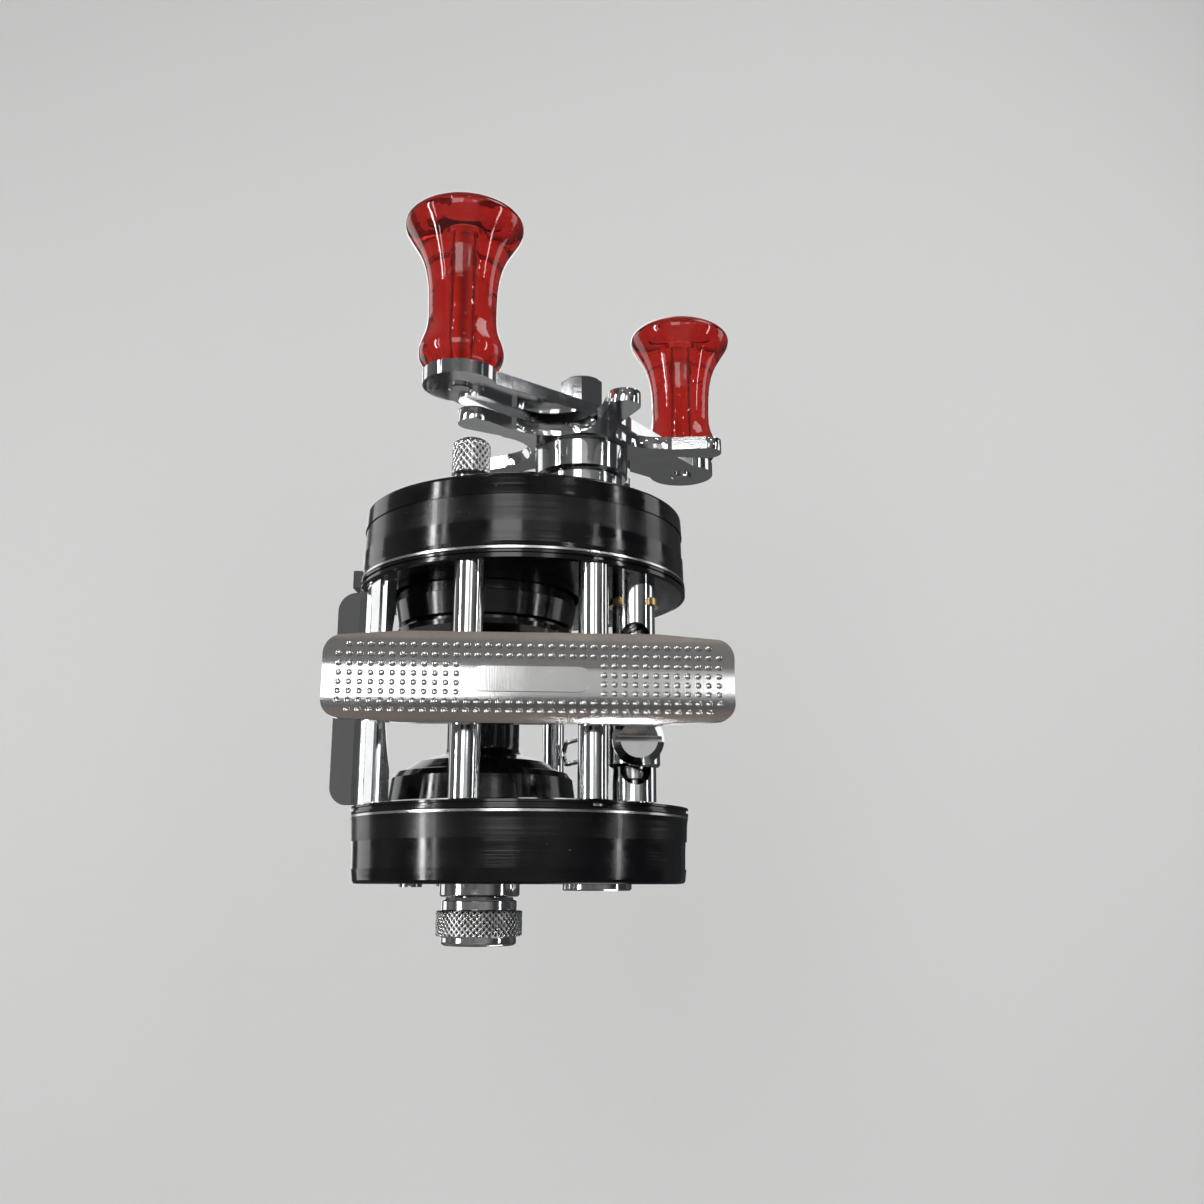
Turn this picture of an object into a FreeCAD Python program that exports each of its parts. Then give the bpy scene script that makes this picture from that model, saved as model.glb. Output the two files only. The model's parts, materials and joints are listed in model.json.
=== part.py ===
"""Right-hand baitcasting reel, modelled piece by piece in millimetres.

The origin is on the underside of the reel foot, at its middle. +X runs along the spool axis to the
handle side, +Y runs along the rod towards the tip, and +Z is away from the rod.
"""
import FreeCAD
import Part
import math
import os

V = FreeCAD.Vector
X_AXIS = V(1, 0, 0)
Y_AXIS = V(0, 1, 0)
Z_AXIS = V(0, 0, 1)

# ---- driving dimensions, mm -------------------------------------------------------------------
RUN = 0.05                        # radial running clearance of every turning or sliding fit
FACE_GAP = 0.05                   # axial clearance between faces that turn past each other

PLATE_Y, PLATE_Z = -1.05, 30.5    # centre of the round side plates
RING_R = 27.9                     # frame ring
COVER_R = 27.6                    # side cover, at its largest plain band
COVER_WALL = 1.3
HANDLE_IN, HANDLE_OUT = 18.75, 20.4       # faces of the handle-side frame ring
TAIL_IN, TAIL_OUT = -17.05, -18.65        # faces of the tail-side frame ring
TRIM = 0.35                       # bright line between ring and cover
HANDLE_FACE = 32.7                # outer face of the handle cover
TAIL_FACE = -29.3                 # outer face of the tail cover

MODULE = 0.5                      # all gears
PRESSURE = math.radians(25)
ADDENDUM, DEDENDUM = 0.8, 1.05    # in modules
BACKLASH = 0.07                   # tooth thinning on the pitch circle, per gear
MAIN_TEETH, PINION_TEETH = 56, 12
SPOOL_TEETH, IDLER_TEETH, WORM_TEETH = 12, 44, 14

CRANK_Y, CRANK_Z = 8.55, 25.5     # handle shaft axis
SPOOL_Z = 31.0
CRANK_SPOOL = MODULE * (MAIN_TEETH + PINION_TEETH) / 2
SPOOL_Y = CRANK_Y - math.sqrt(CRANK_SPOOL ** 2 - (SPOOL_Z - CRANK_Z) ** 2)
WORM_Y, WORM_Z = 16.8, 18.0       # levelwind tube and worm axis

FLANGE_R = 15.5                   # spool flange
ARBOR_R = 6.1
SHAFT_R = 1.5                     # spool shaft
CRANK_R = 3.0                     # handle shaft
PILLAR_R = 2.33
PILLAR_Z = 7.0
PILLAR_Y = 9.57                   # lower pillars at plus and minus this
REAR_PILLAR = (-11.2, 52.0)
ROD_R = 2.05
ROD_Y, ROD_Z = 4.8, 50.0          # guide rod
PILLAR_PLACES = [(PILLAR_Y, PILLAR_Z), (-PILLAR_Y, PILLAR_Z), REAR_PILLAR, (ROD_Y, ROD_Z)]

FOOT_LENGTH, FOOT_WIDTH, FOOT_END_WIDTH = 60.5, 13.4, 12.2
FOOT_TAPER, FOOT_CORNER = 11.5, 2.9
FOOT_THICK, FOOT_ARCH_R = 1.5, 17.0

TUBE_R, TUBE_WALL = 3.5, 0.6
SLOT_X0, SLOT_X1, SLOT_W = -14.2, 11.7, 4.9
WORM_R = 2.3
CARRIAGE_X = -7.6                 # line guide at rest
CARRIAGE_R, CAP_R = 4.15, 4.0
WIRE_R, WIRE_GAP = 0.48, 3.94

RATCHET_R, RATCHET_TEETH = 7.5, 20
BRIDGE_IN, BRIDGE_OUT = 22.6, 23.8
GEAR_X0, GEAR_X1 = 27.2, 28.8     # main gear
BOSS_R, BOSS_END = 7.07, 39.0
DRUM_R, DRUM_END = 8.1, 44.25
STAR_X0, STAR_X1 = 44.3, 46.5
STAR_TIP_R, STAR_BODY_R, STAR_FIRST = 24.5, 8.9, 69.0
ARM_X0, ARM_X1 = 47.4, 49.6
ARM_REACH, ARM_END_R, ARM_HUB_R = 28.4, 6.0, 9.0
ARM_ANGLE = 224.4                 # from +Y towards +Z, to the near knob
KNOB_X0 = 49.7
PIN_END = 74.5                    # end of a knob's pin, inside the knob
NUT_AF, NUT_END = 7.1, 57.2

OIL_CAP = (-0.5, 11.6)
THUMBSCREWS = [(-9.9, 10.0), (-18.6, 43.5), (8.0, 51.8)]
GRIP_R, GRIP_END = 3.12, 38.7     # knurled head of a thumbscrew
TAIL_SCREWS = [(-17.5, 14.5), (-14.0, 48.5), (14.5, 46.5)]
RING_SCREWS_R = 1.0
BUTTON_X0, BUTTON_X1 = 20.45, 23.6        # free-spool button
BUTTON_Z0, BUTTON_Z1 = 31.2, 39.8
BRAKE_X, CLUTCH_X = 21.2, 24.7    # cross pins in the spool shaft


# ---- small helpers ----------------------------------------------------------------------------
def rod(r, x0, x1, y, z):
    """Cylinder along X."""
    return Part.makeCylinder(r, x1 - x0, V(x0, y, z), X_AXIS)


def pipe(r_out, r_in, x0, x1, y, z):
    return rod(r_out, x0, x1, y, z).cut(rod(r_in, x0 - 1, x1 + 1, y, z))


def upright(r, z0, z1, x, y):
    """Cylinder along Z."""
    return Part.makeCylinder(r, z1 - z0, V(x, y, z0), Z_AXIS)


def block(x0, x1, y0, y1, z0, z1):
    return Part.makeBox(x1 - x0, y1 - y0, z1 - z0, V(x0, y0, z0))


def polar(y, z, r, degrees):
    a = math.radians(degrees)
    return y + r * math.cos(a), z + r * math.sin(a)


def turned(profile, y, z):
    """Solid turned about an axis along X through (y, z), from (x, radius) points or arcs.

    A point (x, r) makes a straight run, and (x, r, xm, rm) an arc to (x, r) through (xm, rm).
    """
    edges = []
    last = V(profile[0][0], y, z + profile[0][1])
    first = last
    for item in profile[1:]:
        point = V(item[0], y, z + item[1])
        if len(item) == 4:
            edges.append(Part.Arc(last, V(item[2], y, z + item[3]), point).toShape())
        else:
            edges.append(Part.LineSegment(last, point).toShape())
        last = point
    edges.append(Part.LineSegment(last, first).toShape())
    face = Part.Face(Part.Wire(edges))
    return face.revolve(V(0, y, z), X_AXIS, 360)


def slab(points, x0, x1):
    """Flat plate of a (y, z) outline between two X planes."""
    loop = [V(x0, y, z) for y, z in points]
    return Part.Face(Part.makePolygon(loop + loop[:1])).extrude(V(x1 - x0, 0, 0))


def capsule(y0, z0, r0, y1, z1, r1, x0, x1):
    """Plate whose outline is two circles and the lines that touch both."""
    span = math.hypot(y1 - y0, z1 - z0)
    lean = math.atan2(z1 - z0, y1 - y0)
    spread = math.acos((r0 - r1) / span)
    corners = []
    for side, (cy, cz, r) in ((1, (y0, z0, r0)), (1, (y1, z1, r1)), (-1, (y1, z1, r1)), (-1, (y0, z0, r0))):
        corners.append((cy + r * math.cos(lean + side * spread), cz + r * math.sin(lean + side * spread)))
    body = slab(corners, x0, x1)
    return body.fuse([rod(r0, x0, x1, y0, z0), rod(r1, x0, x1, y1, z1)]).removeSplitter()


def hexagon(across, x0, x1, y, z, turn):
    r = across / math.sqrt(3)
    return slab([polar(y, z, r, 60 * k + turn) for k in range(6)], x0, x1)


def slotted_head(r, x0, x1, y, z, outward):
    """Round screw head along X with a driver slot across its outer face."""
    head = rod(r, x0, x1, y, z)
    deep = 0.4 * (x1 - x0)
    top = x1 if outward > 0 else x0
    slot = block(top - deep, top + deep, y - 0.25, y + 0.25, z - r - 1, z + r + 1)
    return head.cut(slot)


def together(solids):
    """Several separate solids in one node."""
    return Part.makeCompound(solids)


# ---- gears ------------------------------------------------------------------------------------
def tooth_angle(radius, base_r):
    a = math.acos(min(1.0, base_r / radius))
    return math.tan(a) - a


def gear_outline(teeth, phase, y, z):
    """Involute outline; a tooth is centred on the angle `phase`."""
    pitch_r = MODULE * teeth / 2
    base_r = pitch_r * math.cos(PRESSURE)
    tip_r = pitch_r + ADDENDUM * MODULE
    root_r = pitch_r - DEDENDUM * MODULE
    half = math.pi / (2 * teeth) - BACKLASH / (2 * pitch_r) + tooth_angle(pitch_r, base_r)
    start_r = max(base_r, root_r)
    flank = [start_r + (tip_r - start_r) * k / 3 for k in range(4)]
    side = [(r, half - tooth_angle(r, base_r)) for r in flank]
    if root_r < base_r:
        side = [(root_r, half)] + side
    points = []
    for k in range(teeth):
        centre = phase + 2 * math.pi * k / teeth
        for r, a in side:
            points.append((y + r * math.cos(centre - a), z + r * math.sin(centre - a)))
        for r, a in reversed(side):
            points.append((y + r * math.cos(centre + a), z + r * math.sin(centre + a)))
    return points


def gear(teeth, phase, x0, x1, y, z, bore):
    wheel = slab(gear_outline(teeth, phase, y, z), x0, x1)
    return wheel.cut(rod(bore, x0 - 1, x1 + 1, y, z))


def meshed_phase(driver_teeth, driver_phase, teeth, direction):
    """Phase of a gear that meshes with a driver; direction is the angle from driver to it."""
    return direction + math.pi + math.pi / teeth + (direction - driver_phase) * driver_teeth / teeth


def idler_place():
    """The idler touches both the spool gear and the worm gear, on the upper side of their line."""
    a = MODULE * (SPOOL_TEETH + IDLER_TEETH) / 2
    b = MODULE * (IDLER_TEETH + WORM_TEETH) / 2
    dy, dz = WORM_Y - SPOOL_Y, WORM_Z - SPOOL_Z
    span = math.hypot(dy, dz)
    along = (a * a - b * b + span * span) / (2 * span)
    off = math.sqrt(a * a - along * along)
    return (SPOOL_Y + (along * dy - off * dz) / span, SPOOL_Z + (along * dz + off * dy) / span)


IDLER_Y, IDLER_Z = idler_place()
MAIN_PHASE = 0.0
TO_PINION = math.atan2(SPOOL_Z - CRANK_Z, SPOOL_Y - CRANK_Y)
PINION_PHASE = meshed_phase(MAIN_TEETH, MAIN_PHASE, PINION_TEETH, TO_PINION)
TO_IDLER = math.atan2(IDLER_Z - SPOOL_Z, IDLER_Y - SPOOL_Y)
IDLER_PHASE = meshed_phase(SPOOL_TEETH, 0.0, IDLER_TEETH, TO_IDLER)
TO_WORM = math.atan2(WORM_Z - IDLER_Z, WORM_Y - IDLER_Y)
WORM_PHASE = meshed_phase(IDLER_TEETH, IDLER_PHASE, WORM_TEETH, TO_WORM)


# ---- frame ------------------------------------------------------------------------------------
def ring_profile(inner, outer):
    """Rim of a frame ring with two fine ridges, from its inner to its outer face."""
    s = 1 if outer > inner else -1
    r = RING_R
    return [(inner, 0), (inner, r - 0.6), (inner + 0.2 * s, r), (inner + 0.55 * s, r),
            (inner + 0.65 * s, r - 0.35), (inner + 0.95 * s, r - 0.35), (inner + 1.05 * s, r),
            (inner + 1.4 * s, r), (outer, r - 0.2), (outer, 0)]


def frame_ring(inner, outer):
    ring = turned(ring_profile(inner, outer), PLATE_Y, PLATE_Z)
    x0, x1 = min(inner, outer) - 1, max(inner, outer) + 1
    ring = ring.cut(rod(FLANGE_R + 0.6, x0, x1, SPOOL_Y, SPOOL_Z))
    ring = ring.cut(rod(TUBE_R, x0, x1, WORM_Y, WORM_Z))
    counter = outer - 0.9 if outer > inner else outer - 1
    for y, z in PILLAR_PLACES:
        ring = ring.cut(rod(RING_SCREWS_R + RUN, x0, x1, y, z))
        ring = ring.cut(rod(1.9 + RUN, counter, counter + 1.9, y, z))
    return ring


def pillar(y, z, r):
    bar = rod(r, TAIL_IN, HANDLE_IN, y, z)
    for x0 in (TAIL_IN - 1, HANDLE_IN - 5):
        bar = bar.cut(rod(RING_SCREWS_R, x0, x0 + 6, y, z))
    return bar


def pillar_screws():
    screws = []
    for y, z in PILLAR_PLACES:
        shank = rod(RING_SCREWS_R, HANDLE_IN - 4, HANDLE_OUT - 0.9, y, z)
        screws.append(shank.fuse(slotted_head(1.9, HANDLE_OUT - 0.9, HANDLE_OUT, y, z, 1)))
        shank = rod(RING_SCREWS_R, TAIL_OUT + 0.9, TAIL_IN + 4, y, z)
        screws.append(shank.fuse(slotted_head(1.9, TAIL_OUT, TAIL_OUT + 0.9, y, z, -1)))
    return screws


def foot_arch_z():
    """Height of the axis of the foot's arch."""
    return -math.sqrt(FOOT_ARCH_R ** 2 - (FOOT_WIDTH / 2) ** 2)


def foot_outline(width, end_width, z0, z1):
    """Rod-side plan of the foot: parallel middle, tapered ends, round corners."""
    half, w, e, c = FOOT_LENGTH / 2, width / 2, end_width / 2, FOOT_CORNER
    bend = half - FOOT_TAPER
    edges = []
    cut = c * (1 - math.sqrt(0.5))
    path = [(-w, -bend), (-w, bend), (-e, half - c), (-e + cut, half - cut), (-e + c, half),
            (e - c, half), (e - cut, half - cut), (e, half - c), (w, bend), (w, -bend),
            (e, c - half), (e - cut, cut - half), (e - c, -half), (c - e, -half),
            (cut - e, cut - half), (-e, c - half)]
    p = [V(x, y, z0) for x, y in path]
    for a, b in ((0, 1), (1, 2), (4, 5), (7, 8), (8, 9), (9, 10), (12, 13), (15, 0)):
        edges.append(Part.LineSegment(p[a], p[b]).toShape())
    for a in (2, 5, 10, 13):
        edges.append(Part.Arc(p[a], p[a + 1], p[a + 2]).toShape())
    wire = Part.Wire(Part.sortEdges(edges)[0])
    return Part.Face(wire).extrude(V(0, 0, z1 - z0))


def reel_foot():
    """Arched sheet: its long edges lie lowest, and its ends are thinned on top."""
    centre_z = foot_arch_z()
    start = V(0, -FOOT_LENGTH / 2 - 1, centre_z)
    outer = Part.makeCylinder(FOOT_ARCH_R + FOOT_THICK, FOOT_LENGTH + 2, start, Y_AXIS)
    inner = Part.makeCylinder(FOOT_ARCH_R, FOOT_LENGTH + 2, start, Y_AXIS)
    sheet = outer.cut(inner).common(foot_outline(FOOT_WIDTH, FOOT_END_WIDTH, -1, 6))
    flat_z = centre_z + FOOT_ARCH_R - 0.35
    panel = block(-1.85, 1.85, -7.0, 7.0, flat_z, 2.5)
    panel = panel.fuse([upright(1.85, flat_z, 2.5, 0, y) for y in (-7.0, 7.0)])
    sheet = sheet.fuse(panel.common(outer)).removeSplitter()
    for side in (1, -1):
        y_end = side * (FOOT_LENGTH / 2 + 1)
        y_in = side * (FOOT_LENGTH / 2 - 14)
        top = centre_z + FOOT_ARCH_R + FOOT_THICK
        wedge = [V(-9, y_in, top + 0.01), V(-9, y_end, top - 0.75), V(-9, y_end, top + 2), V(-9, y_in, top + 2)]
        tool = Part.Face(Part.makePolygon(wedge + wedge[:1])).extrude(V(18, 0, 0))
        sheet = sheet.cut(tool)
    return sheet


def foot_saddles():
    """Blocks that carry the two lower pillars on the foot."""
    top = Part.makeCylinder(FOOT_ARCH_R + FOOT_THICK, 40, V(0, -20, foot_arch_z()), Y_AXIS)
    saddles = []
    for y in (PILLAR_Y, -PILLAR_Y):
        body = block(-4.5, 4.5, y - 1.9, y + 1.9, 0.5, PILLAR_Z - 1.0)
        saddles.append(body.cut(rod(PILLAR_R, -10, 10, y, PILLAR_Z)).cut(top))
    return together(saddles)


def thumb_bar():
    """Formed sheet that follows the rings at the lower rear and turns out into a thumb flange."""
    x0, x1, thick, r = -16.9, 18.6, 0.8, 27.0
    low, high = 211.0, 190.0
    mid = (low + high) / 2
    a0, a1, a2 = (polar(PLATE_Y, PLATE_Z, r, a) for a in (low, mid, high))
    b0, b1, b2 = (polar(PLATE_Y, PLATE_Z, r - thick, a) for a in (low, mid, high))
    tip, tip_in = (-32.3, 27.5), (-32.3, 27.5 + thick)
    hub, hub_in = (-28.6, 26.5), (-27.9, 27.3)

    def point(p):
        return V(x0, p[0], p[1])

    edges = [Part.Arc(point(a0), point(a1), point(a2)).toShape(),
             Part.LineSegment(point(a2), point(hub)).toShape(),
             Part.LineSegment(point(hub), point(tip)).toShape(),
             Part.LineSegment(point(tip), point(tip_in)).toShape(),
             Part.LineSegment(point(tip_in), point(hub_in)).toShape(),
             Part.LineSegment(point(hub_in), point(b2)).toShape(),
             Part.Arc(point(b2), point(b1), point(b0)).toShape(),
             Part.LineSegment(point(b0), point(a0)).toShape()]
    bar = Part.Face(Part.Wire(edges)).extrude(V(x1 - x0, 0, 0))
    corner = 3.0
    for x, s in ((x0, 1), (x1, -1)):
        ends = sorted((x, x + s * corner))
        tool = block(ends[0], ends[1], -33, -32.3 + corner, 24, 31)
        bar = bar.cut(tool.cut(upright(corner, 24, 31, x + s * corner, -32.3 + corner)))
    # return flange along the inner edge, hollowed out between its ends
    y0, z0 = b0
    width, reach, hollow = 1.4, 0.8, 80.0
    lip = slab([(y0 - 0.1, z0 + 0.1), (y0 + 0.45, z0 - 0.65), (y0 + 0.45 + width, z0 - 0.65 + width * 0.9),
                (y0 - 0.1 + width, z0 + 0.1 + width * 0.9)], x0, x1)
    bar = bar.fuse(lip.cut(upright(hollow, z0 - 3, z0 + 3, (x0 + x1) / 2, y0 + reach + hollow)))
    return bar.removeSplitter()


# ---- side covers ------------------------------------------------------------------------------
def cover_shell(rim, face, breaks):
    """Cup with turned bands; rim and face are X planes, breaks the X of the two band steps."""
    s = 1 if face > rim else -1
    r = COVER_R
    near, far = breaks
    inner_face = face - COVER_WALL * s
    return [(rim, r - 1.6), (rim, r + 0.2), (rim + 0.8 * s, r + 0.1), (near, r), (near, r - 0.2),
            (far, r - 0.3), (far, r - 0.12), (face - 0.7 * s, r - 0.3),
            (face, r - 1.0, face - 0.2 * s, r - 0.5), (face, 0), (inner_face, 0),
            (inner_face, r - 1.6)]


def handle_cover():
    cover = turned(cover_shell(HANDLE_OUT + TRIM, HANDLE_FACE, (24.9, 29.2)), PLATE_Y, PLATE_Z)
    cover = cover.cut(rod(4.4, 28, 40, CRANK_Y, CRANK_Z))
    for y, z in THUMBSCREWS:
        cover = cover.cut(rod(1.5, 28, 40, y, z))
    cover = cover.cut(rod(1.5, 28, 40, *OIL_CAP))
    return cover.cut(button_slot())


def tail_cover():
    cover = turned(cover_shell(TAIL_OUT - TRIM, TAIL_FACE, (-22.7, -27.0)), PLATE_Y, PLATE_Z)
    cover = cover.cut(rod(4.6, -40, -25, SPOOL_Y, SPOOL_Z))
    for y, z in TAIL_SCREWS:
        cover = cover.cut(rod(1.1, -40, -25, y, z))
    return cover


def button_slot():
    """Clear way of the free-spool button through the handle cover's rim."""
    return block(HANDLE_OUT, BUTTON_X1 + 0.1, -32, -24, BUTTON_Z0 - 0.1, BUTTON_Z1 + 0.1)


def trim_ring(x0, x1):
    return pipe(RING_R - 0.05, COVER_R - 1.6, x0, x1, PLATE_Y, PLATE_Z).cut(button_slot())


def oil_cap():
    y, z = OIL_CAP
    top = HANDLE_FACE + 1.7
    head = turned([(HANDLE_FACE, 0), (HANDLE_FACE, 4.2), (top - 0.5, 4.2), (top, 3.6), (top, 0)], y, z)
    head = head.cut(block(top - 0.5, top + 1, y - 3, y + 3, z - 0.4, z + 0.4))
    return head.fuse(rod(1.45, 30.4, HANDLE_FACE, y, z)).removeSplitter()


def thumbscrews():
    """Knurled dome-headed screws that hold the handle cover."""
    screws = []
    grip = HANDLE_FACE + 1.2
    dome = [(HANDLE_FACE, 0), (HANDLE_FACE, 2.55), (grip, 2.55), (grip + 0.2, GRIP_R),
            (GRIP_END, GRIP_R), (GRIP_END + 1.7, 0.5, GRIP_END + 1.2, 2.1), (GRIP_END + 1.7, 0)]
    for y, z in THUMBSCREWS:
        screws.append(turned(dome, y, z).fuse(rod(1.4, 24.5, HANDLE_FACE, y, z)).removeSplitter())
    return together(screws)


def cover_posts():
    """Posts on both frame rings that the cover screws are driven into."""
    posts = []
    for y, z in THUMBSCREWS:
        posts.append(rod(2.3, HANDLE_OUT, HANDLE_FACE - COVER_WALL, y, z).cut(rod(1.4, 24, 40, y, z)))
    for y, z in TAIL_SCREWS:
        posts.append(rod(2.0, TAIL_FACE + COVER_WALL, TAIL_OUT, y, z).cut(rod(1.0, -40, -22, y, z)))
    return together(posts)


def tail_screws():
    screws = []
    for y, z in TAIL_SCREWS:
        head = slotted_head(1.8, TAIL_FACE - 0.45, TAIL_FACE, y, z, -1)
        screws.append(head.fuse(rod(1.0, TAIL_FACE, -23, y, z)))
    return screws


def side_cap_disc():
    """Flat bright disc on the tail cover."""
    y, z = 11.7, 30.5
    disc = [(TAIL_FACE, 0), (TAIL_FACE, 5.8), (TAIL_FACE - 0.8, 5.8), (TAIL_FACE - 1.05, 5.5),
            (TAIL_FACE - 1.05, 4.6), (TAIL_FACE - 0.85, 4.4), (TAIL_FACE - 0.85, 0)]
    return turned(disc, y, z)


# ---- tension control ----------------------------------------------------------------------------
def tension_collar():
    """Threaded boss of the tail cover: carries the bearing inside and the tension cap outside."""
    body = turned([(-23.4, 0), (-23.4, 6.4), (-28.0, 6.4), (-28.0, 4.55), (TAIL_FACE, 4.55),
                   (TAIL_FACE, 6.6), (-31.0, 6.6), (-31.3, 6.3), (-31.3, 4.6), (-37.0, 4.6),
                   (-37.0, 0)], SPOOL_Y, SPOOL_Z)
    body = body.cut(rod(5.0, -26.4, -23, SPOOL_Y, SPOOL_Z))
    return body.cut(rod(SHAFT_R + 0.2, -40, -23, SPOOL_Y, SPOOL_Z))


def tension_cap():
    start = -31.3 - FACE_GAP
    cap = turned([(start, 0), (start, 5.6), (-31.75, 5.6), (-31.95, 6.15), (-33.4, 6.15),
                  (-33.6, 7.05), (-37.4, 7.05), (-37.6, 6.15), (-38.6, 6.15), (-39.0, 5.7),
                  (-39.0, 0)], SPOOL_Y, SPOOL_Z)
    return cap.cut(rod(4.6 + RUN, -37.8, -31, SPOOL_Y, SPOOL_Z))


def thrust_pad():
    return rod(3.0, -37.8, -37.35, SPOOL_Y, SPOOL_Z)


# ---- spool -----------------------------------------------------------------------------------------
def spool():
    """Cup flanges with chamfered rims on a slim hollow arbor that flares into them."""
    r, a = FLANGE_R, ARBOR_R
    tail = [(-16.6, SHAFT_R), (-16.6, 3.2), (-14.2, 3.2), (-14.2, a), (-13.2, r - 2.4),
            (-18.3, r - 1.0), (-18.3, r + 0.3), (-17.0, r + 0.3), (-12.4, r - 0.35), (-11.4, r - 1.1),
            (-11.2, r - 2.2), (-9.6, 11.0), (-8.6, a + 1.6), (-6.6, a, -8.0, a + 0.4)]
    handle = [(8.4, a), (10.4, a + 1.6, 9.8, a + 0.4), (11.4, 11.0), (11.6, r - 0.6), (12.4, r - 0.4),
              (12.6, r - 1.5), (13.1, r - 1.5), (13.4, r - 0.6), (17.0, r), (17.2, r - 0.25),
              (19.9, r - 0.1), (19.9, r - 1.0), (15.0, r - 2.0), (16.0, a), (16.0, 3.2),
              (18.4, 3.2), (18.4, SHAFT_R)]
    return turned(tail + handle, SPOOL_Y, SPOOL_Z)


def spool_shaft():
    shaft = rod(SHAFT_R, -37.3, 30.4, SPOOL_Y, SPOOL_Z)
    for x, r in ((BRAKE_X, 0.4), (CLUTCH_X, 0.5)):
        shaft = shaft.cut(upright(r, SPOOL_Z - 5, SPOOL_Z + 5, x, SPOOL_Y))
    return shaft


def cross_pin(x, r, reach):
    return upright(r, SPOOL_Z - reach, SPOOL_Z + reach, x, SPOOL_Y)


def brake_block(side):
    z0, z1 = sorted((SPOOL_Z + side * 5.2, SPOOL_Z + side * 6.8))
    return upright(0.95, z0, z1, BRAKE_X, SPOOL_Y).cut(upright(0.4 + RUN, z0 - 1, z1 + 1, BRAKE_X, SPOOL_Y))


def brake_ring():
    return pipe(8.8, 8.0, 20.5, BRIDGE_IN, SPOOL_Y, SPOOL_Z)


def ball_bearing(x0, x1, y, z, r_out, r_in):
    """Shielded bearing as one piece: two races and the shield between them."""
    body = pipe(r_out, r_in, x0, x1, y, z)
    mid_in, mid_out = r_in + (r_out - r_in) * 0.28, r_out - (r_out - r_in) * 0.28
    for a, b in ((x0 - 1, x0 + 0.15), (x1 - 0.15, x1 + 1)):
        body = body.cut(pipe(mid_out, mid_in, a, b, y, z))
    return body


# ---- gear train, handle side ------------------------------------------------------------------------
POST_PLACES = [(-19.5, 27.0), (-2.0, 49.5), (19.5, 40.0)]
YOKE_POSTS = [(-10.5, 22.0), (-10.5, 40.0)]
DOG_PIVOT = (1.48, 17.07)


def gear_bridge():
    """Brass plate that carries the gears, on three posts from the handle-side frame ring."""
    plate = capsule(SPOOL_Y, SPOOL_Z, 12.0, CRANK_Y, CRANK_Z, 12.5, BRIDGE_IN, BRIDGE_OUT)
    for y, z in POST_PLACES:
        plate = plate.fuse(capsule(PLATE_Y, PLATE_Z, 6.0, y, z, 2.6, BRIDGE_IN, BRIDGE_OUT))
    plate = plate.cut(rod(3.6, 20, 26, SPOOL_Y, SPOOL_Z))
    plate = plate.cut(rod(2.0 + RUN, 20, 26, CRANK_Y, CRANK_Z))
    for y, z in POST_PLACES:
        plate = plate.fuse(rod(2.2, HANDLE_OUT, BRIDGE_IN, y, z))
        plate = plate.cut(rod(RING_SCREWS_R, HANDLE_OUT - 1, BRIDGE_OUT + 1, y, z))
    return plate.removeSplitter()


def bridge_screws():
    screws = []
    for y, z in POST_PLACES:
        head = slotted_head(1.9, BRIDGE_OUT, BRIDGE_OUT + 0.9, y, z, 1)
        screws.append(head.fuse(rod(RING_SCREWS_R, HANDLE_OUT, BRIDGE_OUT, y, z)))
    return screws


def yoke_springs():
    """Pair of coil springs that push the yoke towards the spool."""
    springs = []
    for y, z in YOKE_POSTS:
        turns, height, r = 4, 2.4, 1.35
        path = Part.makeLongHelix(height / turns, height, r)
        section = Part.Wire(Part.Circle(V(r, 0, 0), Y_AXIS, 0.2).toShape())
        coil = Part.Wire(path.Edges).makePipeShell([section], True, True)
        coil.rotate(V(0, 0, 0), Y_AXIS, 90)
        coil.translate(V(27.95, y, z))
        springs.append(coil)
    return together(springs)


def pinion_gear():
    y, z = SPOOL_Y, SPOOL_Z
    teeth = slab(gear_outline(PINION_TEETH, PINION_PHASE, y, z), 26.5, 29.2)
    body = teeth.fuse([rod(2.0, 25.0, 27.0, y, z), rod(2.9, 24.2, 25.6, y, z), rod(2.45, 26.4, 26.6, y, z)])
    slot = block(24.0, 25.3, y - 0.5 - RUN, y + 0.5 + RUN, z - 4, z + 4)
    return body.cut(rod(SHAFT_R + RUN, 24, 30, y, z)).cut(slot).removeSplitter()


def pinion_yoke():
    y, z = SPOOL_Y, SPOOL_Z
    x0, x1 = 25.65, 26.35
    plate = block(x0, x1, -13.0, -8.4, 19.8, 42.2)
    plate = plate.fuse(block(x0, x1, -13.0, -6.4, z - 3.6, z + 3.6))
    plate = plate.cut(rod(2.0 + RUN, x0 - 1, x1 + 1, y, z))
    plate = plate.cut(block(x0 - 1, x1 + 1, y, y + 5, z - 2.0 - RUN, z + 2.0 + RUN))
    for py, pz in YOKE_POSTS:
        plate = plate.cut(rod(0.8 + RUN, x0 - 1, x1 + 1, py, pz))
    return plate.removeSplitter()


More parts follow.
